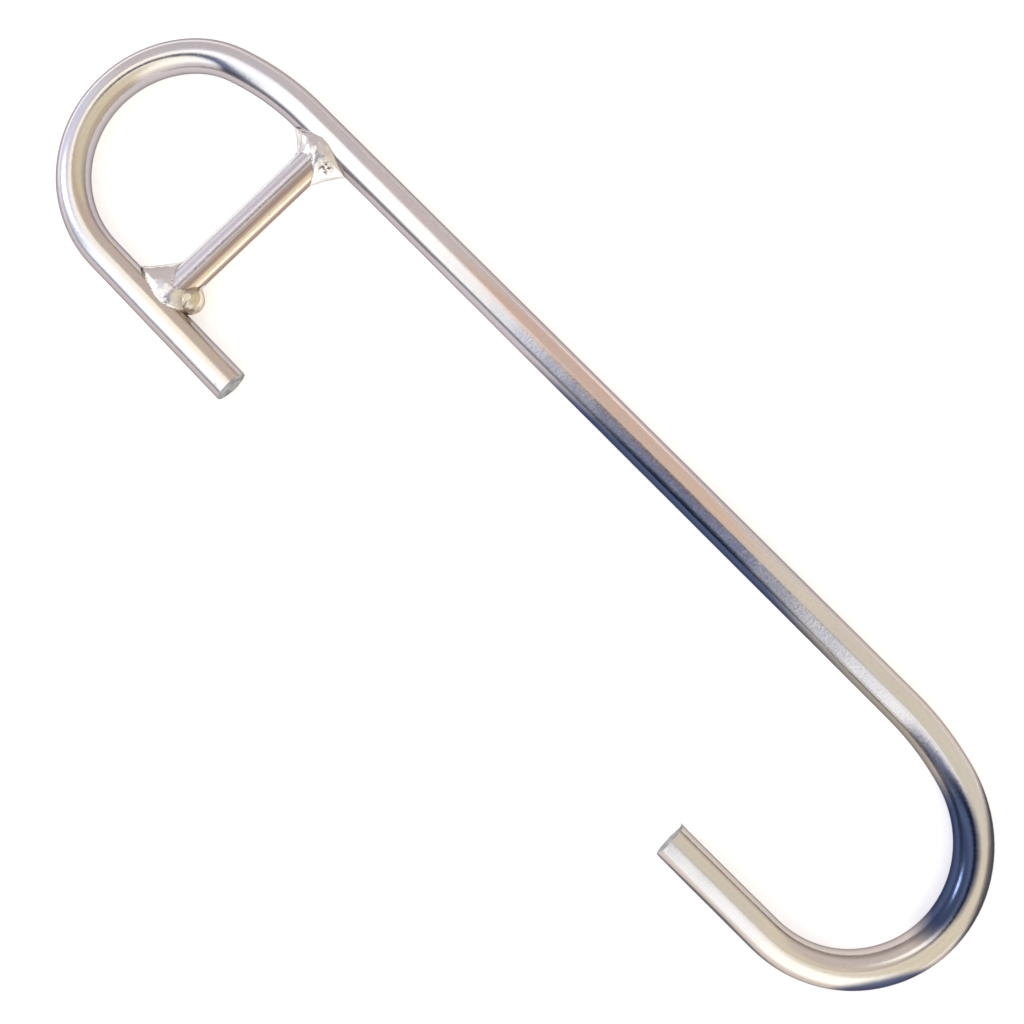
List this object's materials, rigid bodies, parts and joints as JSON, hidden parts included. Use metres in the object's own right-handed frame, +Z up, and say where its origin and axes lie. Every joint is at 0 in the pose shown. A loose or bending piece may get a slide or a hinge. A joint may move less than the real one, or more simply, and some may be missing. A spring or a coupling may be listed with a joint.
{
  "type": "piling hook",
  "caption": "Mooring piling hook of bent round steel bar: long shank, open rail hook at one end, rope eye closed by a welded cross bar at the other.",
  "frame": {"origin": "on the ground under the middle of the outline, the hook lying flat on its side", "axes": "+X along the shank from the rope eye towards the rail hook, +Z up through the bar, both bends on the -Y side of the shank"},
  "size_m": [0.3254, 0.0782, 0.01],
  "materials": {
    "bar_zinc": "bright zinc plate, clear passivated, slightly grained along the bar",
    "cross_zinc": "bright zinc plate over drawn bar, faint lengthwise streaks",
    "weld_zinc": "zinc plate over as-laid weld beads, glossy with dark crevices"
  },
  "bodies": {
    "root": {"hook_bar": "bar_zinc", "cross_bar": "cross_zinc", "shank_weld": "weld_zinc", "leg_weld": "weld_zinc"}
  },
  "joints": []
}
